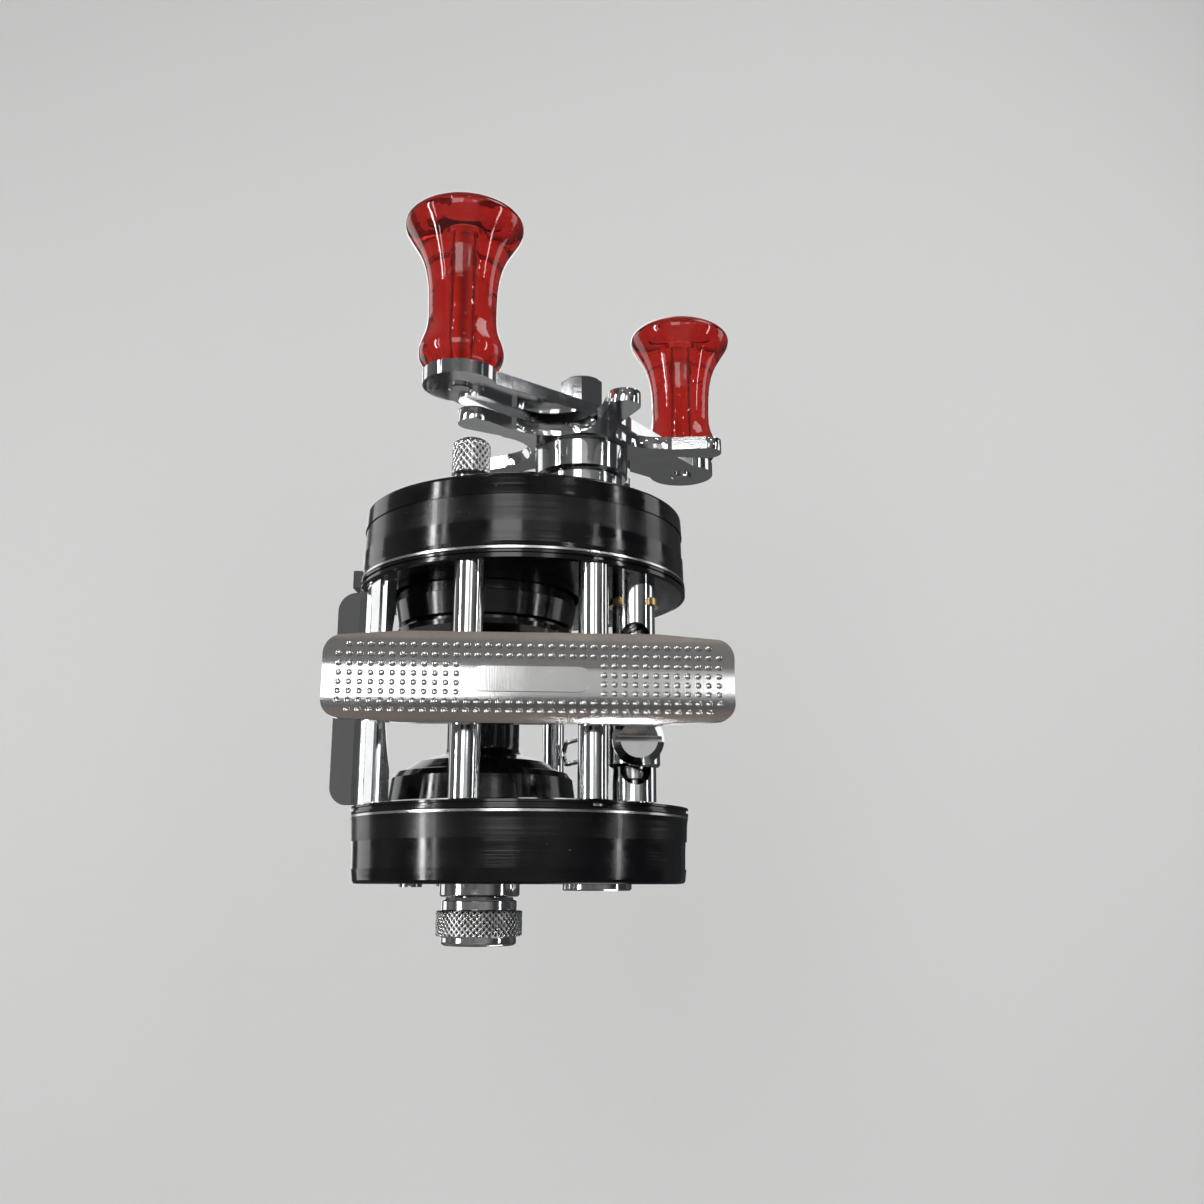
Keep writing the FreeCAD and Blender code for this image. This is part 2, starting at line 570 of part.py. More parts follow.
def free_spool_button():
    """Thumb button at the rear, its slide over the bridge plate, and the ramp that lifts the yoke."""
    zm = (BUTTON_Z0 + BUTTON_Z1) / 2
    crown = Part.makeCylinder(29.55, 8, V(BUTTON_X0 - 2, PLATE_Y, PLATE_Z), X_AXIS)
    head = block(BUTTON_X0, BUTTON_X1, -32, -25.4, BUTTON_Z0, BUTTON_Z1).common(crown)
    link = block(22.9, 24.6, -25.6, -24.2, zm - 3.0, zm + 3.0)
    slide = block(24.0, 24.6, -25.6, -13.6, zm - 2.0, zm + 2.0)
    ramp = [(-13.1, 24.0), (-13.1, 25.6), (-15.1, 26.9), (-16.6, 26.9), (-16.6, 24.0)]
    loop = [V(x, y, zm - 1.4) for y, x in ramp]
    wedge = Part.Face(Part.makePolygon(loop + loop[:1])).extrude(V(0, 0, 2.8))
    return head.fuse([link, slide, wedge]).removeSplitter()


def main_gear():
    wheel = gear(MAIN_TEETH, MAIN_PHASE, GEAR_X0, GEAR_X1, CRANK_Y, CRANK_Z, CRANK_R)
    for k in range(5):
        y, z = polar(CRANK_Y, CRANK_Z, 11.1, 72 * k + 20)
        wheel = wheel.cut(rod(1.3, GEAR_X0 - 1, GEAR_X1 + 1, y, z))
    return wheel


def drag_stack():
    """Friction washers on both sides of the main gear, and the pressure plate over them."""
    layers = ((9.0, 26.6, GEAR_X0), (9.0, GEAR_X1, 29.3), (9.2, 29.3, 30.2))
    return together([pipe(r, CRANK_R, x0, x1, CRANK_Y, CRANK_Z) for r, x0, x1 in layers])


def ratchet_wheel():
    """Saw-toothed wheel of the anti-reverse."""
    points = []
    for k in range(RATCHET_TEETH):
        step = 360.0 / RATCHET_TEETH
        points.append(polar(CRANK_Y, CRANK_Z, RATCHET_R, k * step))
        points.append(polar(CRANK_Y, CRANK_Z, RATCHET_R - 0.9, k * step + 1.5))
    wheel = slab(points, 24.6, 25.6)
    hub = pipe(5.0, CRANK_R, 25.6, 26.6, CRANK_Y, CRANK_Z)
    return wheel.cut(rod(CRANK_R, 24, 27, CRANK_Y, CRANK_Z)).fuse(hub).removeSplitter()


def anti_reverse_dog():
    y, z = DOG_PIVOT
    ty, tz = polar(CRANK_Y, CRANK_Z, RATCHET_R + 0.75, 203)
    dog = capsule(y, z, 1.6, ty, tz, 0.6, 24.6, 25.6)
    return dog.cut(rod(0.8 + RUN, 24, 26, y, z))


def dog_pin():
    y, z = DOG_PIVOT
    return rod(0.8, BRIDGE_OUT, 25.65, y, z).fuse(rod(1.4, 25.65, 26.0, y, z))


def handle_shaft():
    y, z = CRANK_Y, CRANK_Z
    steps = [rod(2.0, BRIDGE_IN, 24.0, y, z), rod(4.4, 24.0, 24.6, y, z), rod(2.5, ARM_X0, NUT_END - 1.0, y, z)]
    return rod(CRANK_R, 24.0, ARM_X0, y, z).fuse(steps).removeSplitter()


def shaft_boss():
    """Fixed bearing boss on the outside of the handle cover."""
    y, z = CRANK_Y, CRANK_Z
    body = turned([(HANDLE_FACE, 0), (HANDLE_FACE, BOSS_R), (38.7, BOSS_R), (BOSS_END, BOSS_R - 0.3),
                   (BOSS_END, 0)], y, z)
    return body.cut(rod(4.2 + RUN, 30, 42, y, z))


def drag_hub():
    """Bright drum and its sleeve: turns with the handle and presses the drag stack together."""
    x0 = BOSS_END + FACE_GAP
    body = turned([(x0, 0), (x0, DRUM_R - 0.45), (x0 + 0.4, DRUM_R - 0.1), (DRUM_END - 0.5, DRUM_R),
                   (DRUM_END, DRUM_R - 0.5), (DRUM_END, 0)], CRANK_Y, CRANK_Z)
    body = body.fuse(rod(4.2, 30.2, x0, CRANK_Y, CRANK_Z))
    return body.cut(rod(CRANK_R, 30, 45, CRANK_Y, CRANK_Z)).removeSplitter()


def star_wheel():
    """Five rounded arms joined by deep hollows, cut from a flat plate."""
    y, z = CRANK_Y, CRANK_Z
    tip, waist = 2.6, 1.75
    wheel = rod(STAR_BODY_R, STAR_X0, STAR_X1, y, z)
    for k in range(5):
        angle = STAR_FIRST + 72 * k
        ty, tz = polar(y, z, STAR_TIP_R - tip, angle)
        my, mz = polar(y, z, 15.5, angle)
        ry, rz = polar(y, z, 6.0, angle)
        wheel = wheel.fuse(capsule(ry, rz, 5.2, my, mz, waist, STAR_X0, STAR_X1))
        wheel = wheel.fuse(capsule(my, mz, waist, ty, tz, tip, STAR_X0, STAR_X1))
    for k in range(5):
        cy, cz = polar(y, z, 16.6, STAR_FIRST + 36 + 72 * k)
        wheel = wheel.cut(rod(7.8, STAR_X0 - 1, STAR_X1 + 1, cy, cz))
    return wheel.cut(rod(CRANK_R + RUN, STAR_X0 - 1, STAR_X1 + 1, y, z)).removeSplitter()


def arm_spacer():
    return pipe(4.6, CRANK_R, STAR_X1 + FACE_GAP, ARM_X0, CRANK_Y, CRANK_Z)


# ---- handle -------------------------------------------------------------------------------------
def knob_place(side):
    return polar(CRANK_Y, CRANK_Z, side * ARM_REACH, ARM_ANGLE)


def handle_arm():
    y, z = CRANK_Y, CRANK_Z
    arm = rod(ARM_HUB_R, ARM_X0, ARM_X1, y, z)
    for side in (1, -1):
        ky, kz = knob_place(side)
        arm = arm.fuse(capsule(y, z, ARM_HUB_R - 0.5, ky, kz, ARM_END_R - 1.3, ARM_X0, ARM_X1))
        arm = arm.fuse(rod(ARM_END_R, ARM_X0, ARM_X1, ky, kz))
    for side in (1, -1):
        ky, kz = knob_place(side)
        arm = arm.cut(rod(1.5, ARM_X0 - 1, ARM_X1 + 1, ky, kz))
    return arm.cut(rod(2.5, ARM_X0 - 1, ARM_X1 + 1, y, z)).removeSplitter()


def knob_spindles():
    """Riveted pins that the knobs turn on."""
    head = ARM_X0 - 0.5
    collar = PIN_END - 1.0
    outline = [(head, 0), (head, 1.6), (head + 0.2, 1.9), (ARM_X0, 1.9), (ARM_X0, 1.5),
               (collar, 1.5), (collar, 2.4), (PIN_END, 2.4), (PIN_END, 0)]
    return together([turned(outline, *knob_place(side)) for side in (1, -1)])


def knob(side):
    """Waisted acrylic knob with a flat flared crown, turning on its pin."""
    y, z = knob_place(side)
    curve = [(0.3, 5.2), (3.1, 6.8), (6.8, 5.8), (11.2, 5.5), (16.0, 5.8), (20.2, 7.0), (23.5, 8.9),
             (25.5, 9.6), (27.2, 8.0), (28.0, 4.4)]

    def at(along, r):
        return V(KNOB_X0 + along, y, z + r)

    spline = Part.BSplineCurve()
    spline.interpolate([at(*p) for p in curve])
    edges = [spline.toShape()]
    around = [curve[-1], (28.4, 2.5), (28.4, 0), (0, 0), (0, 4.8), curve[0]]
    for start, end in zip(around, around[1:]):
        edges.append(Part.LineSegment(at(*start), at(*end)).toShape())
    body = Part.Face(Part.Wire(edges)).revolve(V(0, y, z), X_AXIS, 360)
    body = body.cut(rod(1.5 + RUN, KNOB_X0 - 1, PIN_END - 1.0, y, z))
    return body.cut(rod(2.4 + RUN, PIN_END - 1.0 - RUN, PIN_END + RUN, y, z))


def handle_nut():
    """Hexagon nut with a rounded crown."""
    y, z = CRANK_Y, CRANK_Z
    nut = hexagon(NUT_AF, ARM_X1, NUT_END, y, z, 26)
    crown = turned([(ARM_X1, 0), (ARM_X1, 4.2), (NUT_END - 0.7, 4.2), (NUT_END, 3.5), (NUT_END, 0)], y, z)
    return nut.common(crown).cut(rod(2.5, ARM_X1 - 1, NUT_END - 1.0, y, z))


def nut_keeper():
    """Small plate and screw that stop the nut from turning."""
    y, z = polar(CRANK_Y, CRANK_Z, 6.4, ARM_ANGLE - 6)
    return slotted_head(1.7, ARM_X1, ARM_X1 + 1.3, y, z, 1)


# ---- levelwind ----------------------------------------------------------------------------------
def levelwind_tube():
    tube = pipe(TUBE_R, TUBE_R - TUBE_WALL, TAIL_OUT, HANDLE_OUT, WORM_Y, WORM_Z)
    half = SLOT_W / 2
    slot = block(SLOT_X0 + half, SLOT_X1 - half, WORM_Y - half, WORM_Y + half, WORM_Z - 6, WORM_Z)
    ends = [upright(half, WORM_Z - 6, WORM_Z, x, WORM_Y) for x in (SLOT_X0 + half, SLOT_X1 - half)]
    return tube.cut(slot.fuse(ends))


def worm_shaft():
    """Worm with its outgoing helical groove, and plain journals."""
    length, lead = 24.0, 6.0
    body = rod(WORM_R, -13.2, 13.2, WORM_Y, WORM_Z)
    path = Part.makeLongHelix(lead, length, WORM_R + 0.05)
    section = Part.Wire(Part.Circle(V(WORM_R + 0.05, 0, 0), Y_AXIS, 0.55).toShape())
    groove = Part.Wire(path.Edges).makePipeShell([section], True, True)
    groove.rotate(V(0, 0, 0), Z_AXIS, 17)
    groove.rotate(V(0, 0, 0), Y_AXIS, 90)
    groove.translate(V(-length / 2, WORM_Y, WORM_Z))
    journals = [rod(1.3, -22.3, -13.2, WORM_Y, WORM_Z), rod(1.3, 13.2, 19.6, WORM_Y, WORM_Z)]
    return body.cut(groove).fuse(journals)


def worm_bushings():
    bore = 1.3 + RUN
    y, z = WORM_Y, WORM_Z
    inner = TUBE_R - TUBE_WALL
    return together([pipe(inner, bore, TAIL_OUT, -15.0, y, z), pipe(inner, bore, 15.0, HANDLE_OUT, y, z)])


def levelwind_clip():
    """Brass C-clip that locks the worm bushing in its tube, open towards the foot."""
    clip = pipe(TUBE_R + 0.55, TUBE_R, 14.8, 15.9, WORM_Y, WORM_Z)
    return clip.cut(block(14, 17, WORM_Y - 2.3, WORM_Y + 2.3, WORM_Z - 6, WORM_Z))


def line_carriage():
    """Sleeve that slides on the levelwind tube, with the pawl housing below it."""
    y, z, x = WORM_Y, WORM_Z, CARRIAGE_X
    r = CARRIAGE_R
    body = turned([(x - 3.8, 0), (x - 3.8, r - 0.45), (x - 3.3, r), (x + 3.3, r),
                   (x + 3.8, r - 0.45), (x + 3.8, 0)], y, z)
    body = body.fuse(upright(CAP_R - 0.6, z - 6.2, z - 2, x, y))
    body = body.cut(rod(TUBE_R + RUN, x - 6, x + 6, y, z))
    return body.cut(upright(1.9 + RUN, z - 8, z - 2, x, y)).removeSplitter()


def pawl_cap():
    """Slotted screw cap that holds the pawl in its housing."""
    x, y, top = CARRIAGE_X, WORM_Y, WORM_Z - 6.2
    outline = [(0, 0), (CAP_R, 0), (CAP_R, 0.9), (CAP_R - 1.1, 2.2), (0, 2.2), (0, 0)]
    face = Part.Face(Part.makePolygon([V(x + r, y, top - down) for r, down in outline]))
    cap = face.revolve(V(x, y, 0), Z_AXIS, 360)
    return cap.cut(block(x - 0.45, x + 0.45, y - 6, y + 6, top - 3, top - 1.4))


def pawl():
    x, y, z = CARRIAGE_X, WORM_Y, WORM_Z
    body = upright(1.9, z - 6.15, z - 3.2, x, y)
    blade = block(x - 0.35, x + 0.35, y - 1.5, y + 1.5, z - 3.3, z - WORM_R - RUN - 0.01)
    return body.fuse(blade).removeSplitter()


def wire_guide():
    """U of wire from the carriage to the guide rod; the line runs between its legs."""
    x = CARRIAGE_X + 1.5
    half = WIRE_GAP / 2
    foot_y, foot_z = WORM_Y - 0.9, WORM_Z + 3.95
    top_y, top_z = ROD_Y + 1.95, ROD_Z - 1.95
    reach = math.hypot(top_y - foot_y, top_z - foot_z)
    uy, uz = (top_y - foot_y) / reach, (top_z - foot_z) / reach

    def at(dx, along):
        return V(x + dx, foot_y + uy * along, foot_z + uz * along)

    straight = reach - half
    path = Part.Wire([Part.LineSegment(at(-half, 0), at(-half, straight)).toShape(),
                      Part.Arc(at(-half, straight), at(0, reach), at(half, straight)).toShape(),
                      Part.LineSegment(at(half, straight), at(half, 0)).toShape()])
    section = Part.Wire(Part.Circle(at(-half, 0), V(0, uy, uz), WIRE_R).toShape())
    return path.makePipeShell([section], True, False)


# ---- tail-side gear train ------------------------------------------------------------------------
def spool_gear():
    return gear(SPOOL_TEETH, 0.0, -22.2, -20.2, SPOOL_Y, SPOOL_Z, SHAFT_R)


def idler_gear():
    wheel = gear(IDLER_TEETH, IDLER_PHASE, -22.0, -20.4, IDLER_Y, IDLER_Z, 1.2 + RUN)
    for k in range(4):
        y, z = polar(IDLER_Y, IDLER_Z, 6.2, 90 * k + 45)
        wheel = wheel.cut(rod(1.9, -24, -18, y, z))
    return wheel


def idler_pin():
    """Shouldered pin on a small bracket that spans from the ring's edge."""
    y, z = IDLER_Y, IDLER_Z
    arm = capsule(y, z, 2.2, 18.9, 38.6, 2.4, -24.0, -23.2)
    foot = rod(2.2, -23.2, TAIL_OUT, 18.9, 38.6)
    pin = rod(1.2, -23.2, -20.0, y, z)
    return arm.fuse([foot, pin]).removeSplitter()


def worm_gear():
    return gear(WORM_TEETH, WORM_PHASE, -22.2, -20.2, WORM_Y, WORM_Z, 1.3)


# ---- every node ------------------------------------------------------------------------------------
def lower_pillars():
    return together([pillar(side * PILLAR_Y, PILLAR_Z, PILLAR_R) for side in (1, -1)])


def trim_rings():
    return together([trim_ring(HANDLE_OUT, HANDLE_OUT + TRIM), trim_ring(TAIL_OUT - TRIM, TAIL_OUT)])


def frame_screws():
    """Screws of the pillars, the gear bridge and the tail cover."""
    return together(pillar_screws() + bridge_screws() + tail_screws())


def spool_bearings():
    bore = SHAFT_R + RUN
    return together([ball_bearing(-26.4, -23.4, SPOOL_Y, SPOOL_Z, 5.0, bore),
                     ball_bearing(22.0, 24.1, SPOOL_Y, SPOOL_Z, 3.6, bore)])


def spool_cross_pins():
    """Pin that carries the brake blocks, and bar that the pinion drives."""
    return together([cross_pin(BRAKE_X, 0.4, 7.6), cross_pin(CLUTCH_X, 0.5, 2.2)])


def bridge_pins():
    return together([dog_pin()] + [rod(0.8, BRIDGE_OUT, 30.6, y, z) for y, z in YOKE_POSTS])


NODES = {
    "frame_ring_tail": lambda: frame_ring(TAIL_IN, TAIL_OUT),
    "frame_ring_handle": lambda: frame_ring(HANDLE_IN, HANDLE_OUT),
    "lower_pillars": lower_pillars,
    "upper_rear_pillar": lambda: pillar(*REAR_PILLAR, PILLAR_R),
    "guide_rod": lambda: pillar(ROD_Y, ROD_Z, ROD_R),
    "frame_screws": frame_screws,
    "reel_foot": reel_foot,
    "foot_saddles": foot_saddles,
    "thumb_bar": thumb_bar,
    "handle_cover": handle_cover,
    "tail_cover": tail_cover,
    "trim_rings": trim_rings,
    "cover_posts": cover_posts,
    "cover_thumbscrews": thumbscrews,
    "oil_cap": oil_cap,
    "side_cap_disc": side_cap_disc,
    "tension_collar": tension_collar,
    "tension_cap": tension_cap,
    "thrust_pad": thrust_pad,
    "spool": spool,
    "spool_shaft": spool_shaft,
    "spool_cross_pins": spool_cross_pins,
    "brake_block_upper": lambda: brake_block(1),
    "brake_block_lower": lambda: brake_block(-1),
    "brake_ring": brake_ring,
    "spool_bearings": spool_bearings,
    "gear_bridge": gear_bridge,
    "bridge_pins": bridge_pins,
    "yoke_springs": yoke_springs,
    "pinion_gear": pinion_gear,
    "pinion_yoke": pinion_yoke,
    "free_spool_button": free_spool_button,
    "main_gear": main_gear,
    "drag_stack": drag_stack,
    "ratchet_wheel": ratchet_wheel,
    "anti_reverse_dog": anti_reverse_dog,
    "handle_shaft": handle_shaft,
    "shaft_boss": shaft_boss,
    "drag_hub": drag_hub,
    "star_wheel": star_wheel,
    "arm_spacer": arm_spacer,
    "handle_arm": handle_arm,
    "handle_nut": handle_nut,
    "nut_keeper_screw": nut_keeper,
    "knob_spindles": knob_spindles,
    "knob_near": lambda: knob(1),
    "knob_far": lambda: knob(-1),
    "levelwind_tube": levelwind_tube,
    "levelwind_clip": levelwind_clip,
    "worm_shaft": worm_shaft,
    "worm_bushings": worm_bushings,
    "line_carriage": line_carriage,
    "pawl_cap": pawl_cap,
    "pawl": pawl,
    "wire_guide": wire_guide,
    "spool_gear": spool_gear,
    "idler_gear": idler_gear,
    "idler_pin": idler_pin,
    "worm_gear": worm_gear,
}


def main():
    os.makedirs("parts", exist_ok=True)
    for name, make in NODES.items():
        shape = make()
        if not shape.isValid():
            print("not valid:", name)
        shape.exportStep("parts/" + name + ".step")
        box = shape.BoundBox
        print(name, len(shape.Solids), round(shape.Volume, 1),
              [round(v, 1) for v in (box.XMin, box.XMax, box.YMin, box.YMax, box.ZMin, box.ZMax)])


main()
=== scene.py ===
import json
import math

import bpy
from mathutils import Matrix, Vector


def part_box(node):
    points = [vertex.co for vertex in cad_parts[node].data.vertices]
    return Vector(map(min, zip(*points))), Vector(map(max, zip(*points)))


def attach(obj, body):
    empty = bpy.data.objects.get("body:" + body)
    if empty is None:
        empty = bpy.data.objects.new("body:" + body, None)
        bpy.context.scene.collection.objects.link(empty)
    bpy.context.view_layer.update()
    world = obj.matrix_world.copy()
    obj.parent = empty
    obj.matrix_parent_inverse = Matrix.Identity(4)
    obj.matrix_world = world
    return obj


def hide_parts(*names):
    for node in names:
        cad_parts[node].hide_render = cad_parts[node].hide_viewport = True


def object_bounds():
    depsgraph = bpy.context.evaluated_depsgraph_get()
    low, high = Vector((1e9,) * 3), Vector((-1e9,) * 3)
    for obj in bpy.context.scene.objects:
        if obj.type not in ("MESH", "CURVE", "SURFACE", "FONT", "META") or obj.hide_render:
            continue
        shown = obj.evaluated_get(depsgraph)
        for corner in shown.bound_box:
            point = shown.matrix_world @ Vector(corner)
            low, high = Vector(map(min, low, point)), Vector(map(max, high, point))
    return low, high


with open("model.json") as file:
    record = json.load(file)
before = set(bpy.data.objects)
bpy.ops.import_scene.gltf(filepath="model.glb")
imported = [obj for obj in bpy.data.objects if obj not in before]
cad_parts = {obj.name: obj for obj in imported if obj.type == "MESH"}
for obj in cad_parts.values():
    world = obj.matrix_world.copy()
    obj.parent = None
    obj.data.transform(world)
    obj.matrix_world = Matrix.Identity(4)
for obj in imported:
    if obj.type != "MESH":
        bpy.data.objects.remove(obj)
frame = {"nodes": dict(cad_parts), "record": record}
cad_low, cad_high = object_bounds()
nodes = frame["nodes"]
slot_of = {part["node"]: part["material_slot"] for part in frame["record"]["subparts"]}
MM = 0.001
IMAGE_SIZE = 1204                     # pixels each way
FOCAL_LENGTH = 1200                   # in the same pixels
FOOT_ARCH_R = 17.0 * MM
THUMBSCREWS = ((-9.9, 10.0), (-18.6, 43.5), (8.0, 51.8))               # (y, z), mm
DULL_BANDS = {"handle_cover": (24.9, 29.2), "tail_cover": (-22.7, -18.5)}  # (from x, to x), mm


# ---- places read from the frame ----------------------------------------------------------------
def middle(node):
    low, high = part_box(node)
    return (low + high) / 2


PLATE = middle("tail_cover")          # axis of the round side plates
CRANK = middle("drag_hub")            # axis of the handle
SPOOL = middle("spool")               # axis of the spool and of the tension cap
WORM = middle("levelwind_tube")       # axis of the levelwind


# ---- camera, stage, light ----------------------------------------------------------------------
def make_camera():
    data = bpy.data.cameras.new("camera")
    data.sensor_width = 36.0
    data.lens = data.sensor_width * FOCAL_LENGTH / IMAGE_SIZE
    data.clip_start, data.clip_end = 0.005, 20
    cam = bpy.data.objects.new("camera", data)
    bpy.context.scene.collection.objects.link(cam)
    forward = Vector((0.22802687, 0.06831298, 0.97125542))
    up = Vector((0.97365413, -0.0172022, -0.22738011))
    right = forward.cross(up)
    turn = Matrix((right, up, -forward)).transposed().to_4x4()
    cam.matrix_world = Matrix.Translation(Vector((-29.11, -1.77, -172.83)) * MM) @ turn
    bpy.context.scene.camera = cam


def plane(name, z, size, facing):
    """Large horizontal square whose front faces up (1) or down (-1)."""
    mesh = bpy.data.meshes.new(name)
    corners = [(-size, -size), (size, -size), (size, size), (-size, size)]
    if facing < 0:
        corners.reverse()
    mesh.from_pydata([(x, y, z) for x, y in corners], [], [(0, 1, 2, 3)])
    obj = bpy.data.objects.new(name, mesh)
    bpy.context.scene.collection.objects.link(obj)
    return obj


def make_stage():
    """A pale floor below and a pale surface above; each shows only its front."""
    mat = bpy.data.materials.new("stage")
    mat.use_nodes = True
    nt = mat.node_tree
    nt.nodes.clear()
    out = nt.nodes.new("ShaderNodeOutputMaterial")
    mix = nt.nodes.new("ShaderNodeMixShader")
    geo = nt.nodes.new("ShaderNodeNewGeometry")
    matt = nt.nodes.new("ShaderNodeBsdfDiffuse")
    matt.inputs["Color"].default_value = (0.72, 0.73, 0.72, 1)
    clear = nt.nodes.new("ShaderNodeBsdfTransparent")
    nt.links.new(geo.outputs["Backfacing"], mix.inputs["Fac"])
    nt.links.new(matt.outputs[0], mix.inputs[1])
    nt.links.new(clear.outputs[0], mix.inputs[2])
    nt.links.new(mix.outputs[0], out.inputs["Surface"])
    for name, z, facing in (("floor", cad_low.z - 0.0005, 1), ("backdrop", cad_high.z + 0.25, -1)):
        obj = plane(name, z, 4.0, facing)
        obj.data.materials.append(mat)
        obj.visible_shadow = False
        obj.visible_glossy = False
        obj.visible_diffuse = False


def lamp(name, direction, distance, across, along, radiance, colour=(1, 1, 1), shine=True,
         through=False):
    """Soft box aimed at the middle of the object; along is its size parallel to X."""
    data = bpy.data.lights.new(name, "AREA")
    data.shape = "RECTANGLE"
    data.size, data.size_y = across, along
    data.energy = math.pi * across * along * radiance
    data.color = colour
    obj = bpy.data.objects.new(name, data)
    bpy.context.scene.collection.objects.link(obj)
    z_axis = Vector(direction).normalized()
    y_axis = (Vector((1, 0, 0)) - z_axis * z_axis.x).normalized()
    x_axis = y_axis.cross(z_axis)
    turn = Matrix((x_axis, y_axis, z_axis)).transposed().to_4x4()
    aim = (cad_low + cad_high) / 2
    obj.matrix_world = Matrix.Translation(aim + z_axis * distance) @ turn
    obj.visible_camera = False
    obj.visible_glossy = shine
    obj.visible_transmission = through


def make_world():
    """Dim studio surroundings, a little brighter below; the camera itself sees them pale."""
    world = bpy.data.worlds.new("world")
    bpy.context.scene.world = world
    world.use_nodes = True
    world.node_tree.nodes.clear()
    t = Tree(world.node_tree)
    direction = t.node("ShaderNodeTexCoord").outputs["Generated"]
    x, y, z = t.split(direction)
    height = t.spread(z, -1.0, 1.0, 0.08, 0.0)
    front = t.spread(y, 0.4, 1.0, 0.0, -0.35)
    level = t.maths("ADD", t.noise(direction, 1.6), t.maths("ADD", height, front))
    ramp = t.node("ShaderNodeValToRGB")
    for stop, place, colour in zip(ramp.color_ramp.elements, (0.32, 0.78),
                                   ((0.035, 0.038, 0.040, 1), (0.21, 0.205, 0.20, 1))):
        stop.position = place
        stop.color = colour
    t.link(level, ramp.inputs["Fac"])
    dim = t.node("ShaderNodeBackground")
    t.link(ramp.outputs["Color"], dim.inputs["Color"])
    seen = t.node("ShaderNodeBackground")
    seen.inputs["Color"].default_value = (0.62, 0.63, 0.62, 1)
    mix = t.node("ShaderNodeMixShader")
    t.link(t.node("ShaderNodeLightPath").outputs["Is Camera Ray"], mix.inputs["Fac"])
    t.link(dim.outputs[0], mix.inputs[1])
    t.link(seen.outputs[0], mix.inputs[2])
    t.link(mix.outputs[0], t.node("ShaderNodeOutputWorld").inputs["Surface"])


def make_light():
    """Large panels and strips for the bright metal to reflect, small bulbs, and two fills."""
    lamp("panel_below", (0.17, -0.22, -0.96), 0.45, 0.15, 0.22, 2.6, through=True)
    lamp("panel_below_soft", (0.17, -0.02, -0.98), 0.46, 0.40, 0.20, 0.35)
    lamp("panel_below_front", (0.17, 0.26, -0.95), 0.45, 0.06, 0.12, 1.6)
    lamp("warm_side", (0.66, -0.05, -0.75), 0.5, 0.40, 0.12, 0.08, (1.0, 0.62, 0.45))
    lamp("warm_side_low", (-0.56, -0.05, -0.83), 0.5, 0.40, 0.12, 0.15, (1.0, 0.74, 0.60))
    lamp("strip_rear", (0.08, -0.91, -0.41), 0.45, 0.03, 0.35, 20.0)
    lamp("strip_rear_dim", (0.08, -0.84, -0.54), 0.45, 0.02, 0.35, 5.0)
    lamp("strip_front", (0.08, 0.92, -0.39), 0.45, 0.025, 0.35, 8.0, through=True)
    lamp("panel_front_high", (0.26, 0.94, 0.22), 0.5, 0.14, 0.3, 1.2)
    bulbs = ((0.55, -0.35, -0.75), (0.72, 0.1, -0.69), (0.5, 0.45, -0.74),
             (0.85, -0.3, -0.44), (0.3, 0.72, -0.63))
    for k, direction in enumerate(bulbs):
        lamp("bulb_%d" % k, direction, 0.6, 0.02, 0.02, 30.0)
    lamp("panel_top", (0.62, -0.1, 0.78), 0.55, 0.22, 0.25, 1.6)
    lamp("panel_above", (0.25, -0.1, 0.96), 0.9, 0.6, 0.8, 1.0)
    lamp("panel_rear_high", (0.2, -0.78, 0.6), 0.5, 0.2, 0.4, 1.0)
    lamp("panel_handle", (0.9, 0.55, -0.1), 0.55, 0.22, 0.22, 2.5)
    lamp("panel_tail", (-0.95, 0.35, 0.3), 0.55, 0.2, 0.2, 2.5)
    lamp("fill_below", (0, 0, -1), 1.1, 1.2, 1.2, 2.2, shine=False, through=True)
    lamp("fill_above", (0.1, -0.1, 1), 1.1, 0.9, 0.9, 3.4, shine=False)


